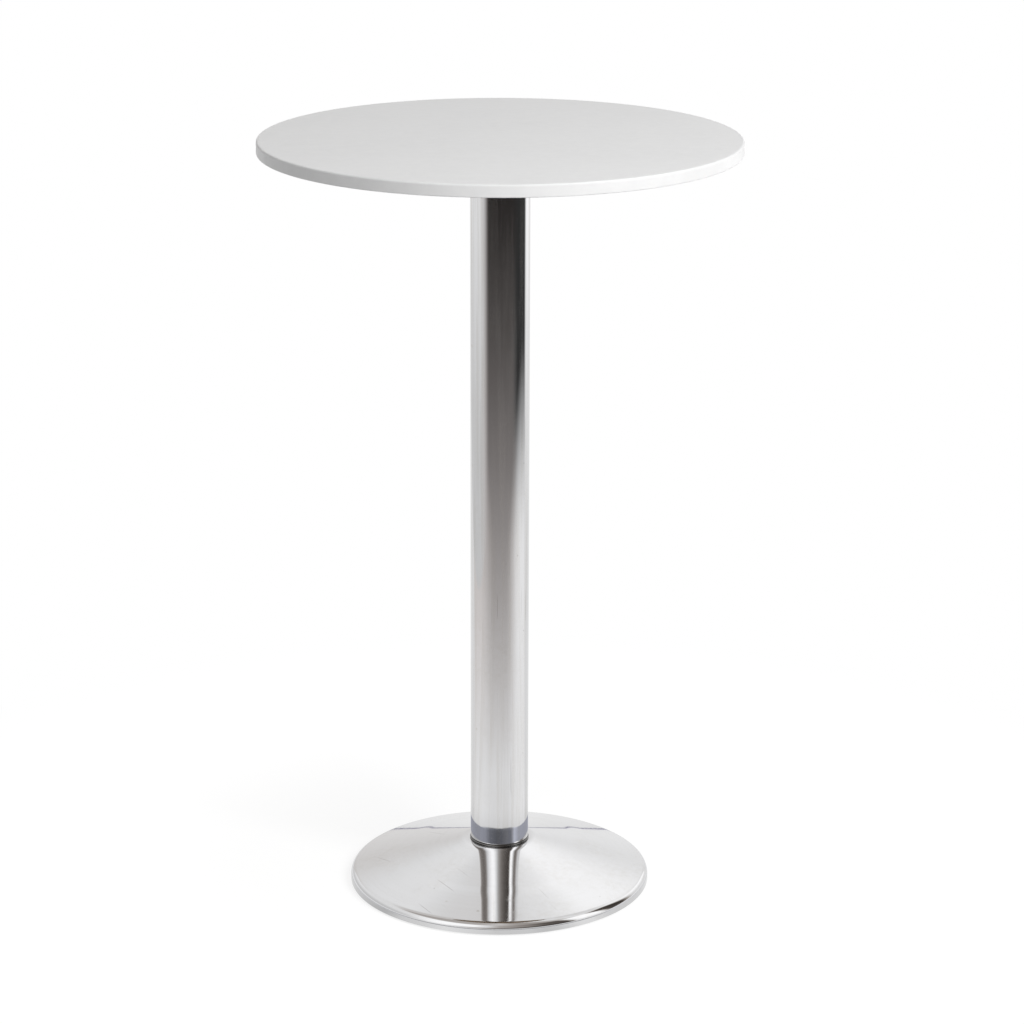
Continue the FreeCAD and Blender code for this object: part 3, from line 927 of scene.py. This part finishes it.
def glow(tree, colour, strength):
    """An emission shader's output."""
    return node(tree, "ShaderNodeEmission", {"Color": colour, "Strength": strength}).outputs[0]


def shader_mix(tree, share, first, second):
    """A shader between two shaders."""
    return node(tree, "ShaderNodeMixShader", {0: share, 1: first, 2: second}).outputs[0]


def sheet_of(name, corners):
    """A flat four-sided stage piece."""
    mesh = bpy.data.meshes.new(name)
    mesh.from_pydata(corners, [], [range(len(corners))])
    made = bpy.data.objects.new(name, mesh)
    bpy.context.scene.collection.objects.link(made)
    return made


def stage_material(name):
    """An empty material's node tree and the socket of its surface."""
    material = bpy.data.materials.new(name)
    material.use_nodes = True
    tree = material.node_tree
    tree.nodes.clear()
    return material, tree, tree.nodes.new("ShaderNodeOutputMaterial").inputs["Surface"]


def bearing(tree, vector):
    """The bearing of a place or direction, in radians."""
    split = node(tree, "ShaderNodeSeparateXYZ", {0: vector}).outputs
    return math_node(tree, "ARCTAN2", split["X"], scaled(tree, split["Y"], -1.0))


def over_bearings(tree, turn, start, end, low, high):
    """A value eased from low to high between two bearings."""
    return ranged(tree, turn, math.radians(start), math.radians(end), low, high)


def round_level(tree, turn, stops):
    """A level that runs straight from stop to stop round the table. A stop is a bearing and a level."""
    brightest = max(level for degrees, level in stops)
    where = math_node(tree, "ADD", math_node(tree, "DIVIDE", turn, 2 * math.pi), 0.5)
    ramp = node(tree, "ShaderNodeValToRGB", {0: where})
    elements = ramp.color_ramp.elements
    for degrees, level in stops[1:-1]:
        elements.new(degrees / 360 + 0.5)
    for element, (degrees, level) in zip(elements, stops):
        element.color = grey(level / brightest)
    return scaled(tree, ramp.outputs[0], brightest)


def fading(tree, radius, start, length):
    """One up to a distance from the table, then falling by a factor of e over each length."""
    steps = math_node(tree, "DIVIDE", math_node(tree, "SUBTRACT", start, radius), length)
    return math_node(tree, "EXPONENT", math_node(tree, "MINIMUM", steps, 0.0))


def over_span(tree, radius, turn, span, first, second):
    """A level eased from first to second between two bearings, which differ near the table and far
    from it."""
    start, end = (
        ranged(tree, radius, *SPAN_REACH, math.radians(near), math.radians(far)) for near, far in zip(*span)
    )
    return ranged(tree, turn, start, end, first, second)


def mirrored_floor(tree, radius, turn):
    """The floor as reflections see it: bright round the table, darker and warmer further in front, lighter
    to both sides and behind, and dim at a distance, with a painted shadow close round the rim."""
    aside = math_node(tree, "ABSOLUTE", turn)
    ahead = fading(tree, radius, *AHEAD_FADE)
    left = scaled(tree, fading(tree, radius, *LEFT_FADE), LEFT_LEVEL)
    right_end = over_bearings(tree, turn, *RIGHT_DARK_BEARINGS, *RIGHT_DARK_REACH)
    right = ranged(tree, radius, right_end, RIGHT_BRIGHT_REACH, *RIGHT_LEVELS)
    level = over_span(tree, radius, turn, LEFT_SPAN, ahead, left)
    level = over_span(tree, radius, turn, RIGHT_SPAN, level, right)
    level = ranged(tree, radius, *FLOOR_FAR_REACH, level, FLOOR_FAR_LEVEL)
    level = over_bearings(tree, aside, *BEHIND_BEARINGS, level, FLOOR_BEHIND)
    # Painted shadow close round the rim
    level = scaled(tree, level, ranged(tree, radius, *UNDER_RIM_REACH, UNDER_RIM_PAINTED_SHADOW, 1.0))
    skirt = ranged(tree, radius, *SKIRT_REACH, round_level(tree, turn, SKIRT_FLOOR), 1.0)
    level = scaled(tree, level, skirt)
    warmth = over_span(tree, radius, turn, RIGHT_SPAN, math_node(tree, "SUBTRACT", 1.0, ahead), 0.0)
    warmth = over_bearings(tree, aside, *BEHIND_BEARINGS, warmth, 0.0)
    return glow(tree, mixed(tree, warmth, grey(1.0), FLOOR_WARM), level)


def floor():
    """Pale floor. The camera sees it white from above, with the table's soft shadow close to the base, and
    looks through it from below."""
    reach = FLOOR_REACH
    corners = [(-reach, -reach, 0), (reach, -reach, 0), (reach, reach, 0), (-reach, reach, 0)]
    made = sheet_of("floor", corners)
    material, tree, surface = stage_material("floor_paper")
    rays = ray_kinds(tree)
    _, radius, _ = round_place(tree)
    turn = bearing(tree, place(tree))
    paper = node(tree, "ShaderNodeBsdfDiffuse", {"Color": FLOOR_PAPER}).outputs[0]
    white_level = ranged(tree, radius, SHADOW_NEAR, SHADOW_FAR, SHADOW_WHITE_LEVEL, 1.0)
    white_share = ranged(tree, radius, SHADOW_NEAR, SHADOW_FAR, SHADOW_WHITE_SHARE, 1.0)
    white_share = scaled(tree, white_share, rays["Is Camera Ray"])
    seen = shader_mix(tree, white_share, paper, glow(tree, grey(1.0), white_level))
    once = mirrored_floor(tree, radius, turn)
    twice = glow(tree, SECOND_COLOUR, round_level(tree, turn, SECOND_MIRRORING))
    aside = math_node(tree, "ABSOLUTE", turn)
    strip_end = over_bearings(tree, aside, *SHADE_STRIP_BEARINGS, *SHADE_STRIP_ENDS)
    past_start = math_node(tree, "GREATER_THAN", radius, SHADE_STRIP_START)
    strip = scaled(tree, past_start, math_node(tree, "LESS_THAN", radius, strip_end))
    mirrored = shader_mix(tree, strongest(tree, second_mirroring(tree, rays), strip), once, twice)
    shown = shader_mix(tree, rays["Is Glossy Ray"], seen, mirrored)
    below = node(tree, "ShaderNodeNewGeometry").outputs["Backfacing"]
    clear = node(tree, "ShaderNodeBsdfTransparent").outputs[0]
    tree.links.new(shader_mix(tree, scaled(tree, below, rays["Is Camera Ray"]), shown, clear), surface)
    made.data.materials.append(material)


def only_mirrored(made):
    """Leaves a stage piece visible to reflections alone."""
    made.visible_camera = False
    made.visible_diffuse = False
    made.visible_transmission = False
    made.visible_volume_scatter = False
    made.visible_shadow = False


CARD_FAR = 2.2
CARD_TOP = 1.0
CARD_LOW, CARD_HIGH = 0.15, 0.75


def card(name, x, near, full, levels):
    """An upright white card beside the table, for the column's reflections. It fades in along Y from near
    to full, and its level changes from low to high."""
    corners = [(x, near, 0), (x, CARD_FAR, 0), (x, CARD_FAR, CARD_TOP), (x, near, CARD_TOP)]
    made = sheet_of(name, corners)
    material, tree, surface = stage_material(name)
    split = node(tree, "ShaderNodeSeparateXYZ", {0: place(tree)}).outputs
    share = ranged(tree, split["Y"], near, full)
    bare = node(tree, "ShaderNodeBsdfTransparent").outputs[0]
    lit = glow(tree, grey(1.0), ranged(tree, split["Z"], CARD_LOW, CARD_HIGH, *levels))
    tree.links.new(shader_mix(tree, share, bare, lit), surface)
    made.data.materials.append(material)
    only_mirrored(made)


# Levels of the studio round the table, as reflections see it. First what stands behind, at any height.
BACK_LEFT = ((-180, 1.10), (-172, 1.12), (-160, 1.0), (-150, 0.98))
BACK_RIGHT = ((150, 1.20), (162, 1.28), (172, 1.3), (180, 1.10))
# Close to the horizon
LOW_RING = (
    *BACK_LEFT,
    (-95, 0.90),
    (-65, 1.2),
    (-40, 1.3),
    (-20, 0.60),
    (-8, 0.25),
    (5, 0.12),
    (36, 0.05),
    (56, 0.05),
    (60, 1.2),
    (84, 1.3),
    (89, 0.5),
    (92, 0.10),
    (106, 0.15),
    (118, 1.1),
    *BACK_RIGHT,
)
# Half-way up
MIDDLE_RING = (
    *BACK_LEFT,
    (-95, 1.0),
    (-80, 1.1),
    (-65, 1.32),
    (-44, 1.46),
    (-19, 1.38),
    (-8, 0.95),
    (0, 0.58),
    (10, 0.46),
    (25, 0.30),
    (37, 0.15),
    (53, 0.12),
    (59, 1.3),
    (64, 1.5),
    (83, 1.5),
    (90, 0.10),
    (108, 0.05),
    (114, 0.6),
    (119, 1.25),
    *BACK_RIGHT,
)
# High up
HIGH_RING = (
    *BACK_LEFT,
    (-118, 0.97),
    (-98, 0.55),
    (-24, 0.60),
    (0, 0.80),
    (20, 0.50),
    (40, 0.44),
    (57, 0.66),
    (78, 1.0),
    (94, 1.24),
    *BACK_RIGHT,
)
# Anywhere, by way of a second reflection
SECOND_RING = (
    (-180, 1.05),
    (-150, 0.75),
    (-128, 0.42),
    (-112, 0.34),
    (-98, 0.30),
    (-84, 0.42),
    (-69, 1.25),
    (-54, 1.8),
    (-41, 2.12),
    (-28, 2.0),
    (-15, 1.3),
    (-3, 0.70),
    (9, 0.40),
    (22, 0.25),
    (35, 0.165),
    (50, 0.13),
    (57, 0.16),
    (65, 2.3),
    (74, 2.1),
    (84, 0.90),
    (93, 0.33),
    (101, 0.34),
    (113, 0.75),
    (122, 1.1),
    (180, 1.05),
)
# Rises above the horizon, in degrees, over which the rings and the levels behind turn into each other
LOW_TO_MIDDLE = (4.0, 18.0)
MIDDLE_TO_HIGH = (43.0, 53.0)
BACK_WALL_RISE = (15.0, 40.0)
BACK_WALL_LEVELS = (0.80, 1.05)
BACK_CEILING_RISE = (44.0, 55.5)
BACK_CEILING_LEVEL = 0.76
# Cosines of the bearings between which what stands behind turns into the sides
SIDEWAYS = (-0.35, 0.2)
STUDIO_WARM = (1.0, 0.86, 0.76, 1.0)
# The skyline's lower and upper edge, as heights of directions
SKYLINE = (0.004, 0.016)
SKYLINE_LEVEL = 0.35
SKYLINE_COLOUR = (0.72, 0.70, 1.0, 1.0)
WORLD_FILL = 0.385


def sines(rises):
    """The height of directions that rise by angles in degrees."""
    return [math.sin(math.radians(rise)) for rise in rises]


def studio_world():
    """Even light on the object, white for the camera, and rings of bright and dark for reflections. There is
    a thin skyline behind, and the dark parts are warmer."""
    world = bpy.data.worlds.new("studio")
    bpy.context.scene.world = world
    world.use_nodes = True
    tree = world.node_tree
    tree.nodes.clear()
    rays = ray_kinds(tree)
    direction = node(tree, "ShaderNodeTexCoord").outputs["Generated"]
    turn = bearing(tree, direction)
    facing = math_node(tree, "COSINE", turn)
    rise = node(tree, "ShaderNodeSeparateXYZ", {0: direction}).outputs["Z"]
    rings = (LOW_RING, MIDDLE_RING, HIGH_RING, SECOND_RING)
    low, middle, high, twice = (round_level(tree, turn, ring) for ring in rings)
    once = ranged(tree, rise, *sines(LOW_TO_MIDDLE), low, middle)
    once = ranged(tree, rise, *sines(MIDDLE_TO_HIGH), once, high)
    wall = ranged(tree, rise, *sines(BACK_WALL_RISE), *BACK_WALL_LEVELS)
    ceiling = ranged(tree, rise, *sines(BACK_CEILING_RISE), 1.0, BACK_CEILING_LEVEL)
    skyline = ranged(tree, rise, *SKYLINE)
    dimmed = ranged(tree, skyline, 0.0, 1.0, SKYLINE_LEVEL, 1.0)
    back = scaled(tree, scaled(tree, wall, ceiling), dimmed)
    once = scaled(tree, once, ranged(tree, facing, *SIDEWAYS, back, 1.0))
    level = ranged(tree, second_mirroring(tree, rays), 0.0, 1.0, once, twice)
    warm = mixed(tree, math_node(tree, "MINIMUM", level, 1.0), STUDIO_WARM, grey(1.0))
    tint = mixed(tree, ranged(tree, facing, *SIDEWAYS, skyline, 1.0), SKYLINE_COLOUR, warm)
    plain = ranged(tree, rays["Is Camera Ray"], 0.0, 1.0, WORLD_FILL, 1.0)
    colour = mixed(tree, rays["Is Glossy Ray"], grey(1.0), tint)
    strength = ranged(tree, rays["Is Glossy Ray"], 0.0, 1.0, plain, level)
    background = node(tree, "ShaderNodeBackground", {"Color": colour, "Strength": strength})
    output = tree.nodes.new("ShaderNodeOutputWorld")
    tree.links.new(background.outputs[0], output.inputs[0])


def soft_light(name, stand, aim, size, power):
    """A square area light that reflections don't see."""
    lamp = bpy.data.lights.new(name, "AREA")
    lamp.shape = "SQUARE"
    lamp.size = size
    lamp.energy = power
    made = bpy.data.objects.new(name, lamp)
    bpy.context.scene.collection.objects.link(made)
    made.location = stand
    made.rotation_mode = "QUATERNION"
    made.rotation_quaternion = (Vector(aim) - Vector(stand)).to_track_quat("-Z", "Y")
    made.visible_camera = False
    made.visible_glossy = False


floor()
card("left_card", x=-1.3, near=-1.25, full=-0.1, levels=(0.78, 1.05))
card("right_card", x=1.3, near=0.32, full=0.8, levels=(1.0, 1.42))
studio_world()
soft_light("window", stand=(1.95, -2.2, 2.6), aim=(0, 0, 0.9), size=2.0, power=102)


# Camera: lengths in metres, angles in radians, the sensor in millimetres

CAMERA_DISTANCE = 4.100
CAMERA_HEIGHT = 1.7295
CAMERA_PITCH = 0.28973
CAMERA_YAW = 0.00384
CAMERA_ROLL = 0.0025
IMAGE_SIDE = 1024
FOCAL_PIXELS = 3311.0
SENSOR = 36.0
CAMERA_SIGHT = 100


def camera():
    """Camera in front of the table and above it, turned by yaw, then pitched down, then rolled."""
    lens = bpy.data.cameras.new("camera")
    lens.sensor_width = SENSOR
    lens.lens = SENSOR * FOCAL_PIXELS / IMAGE_SIDE
    lens.clip_end = CAMERA_SIGHT
    made = bpy.data.objects.new("camera", lens)
    bpy.context.scene.collection.objects.link(made)
    stand = Matrix.Translation((0, -CAMERA_DISTANCE, CAMERA_HEIGHT))
    yaw = Matrix.Rotation(-CAMERA_YAW, 4, "Z")
    pitch = Matrix.Rotation(math.pi / 2 - CAMERA_PITCH, 4, "X")
    roll = Matrix.Rotation(CAMERA_ROLL, 4, "Z")
    made.matrix_world = stand @ yaw @ pitch @ roll
    bpy.context.scene.camera = made


camera()
bpy.context.scene.view_settings.view_transform = "Standard"
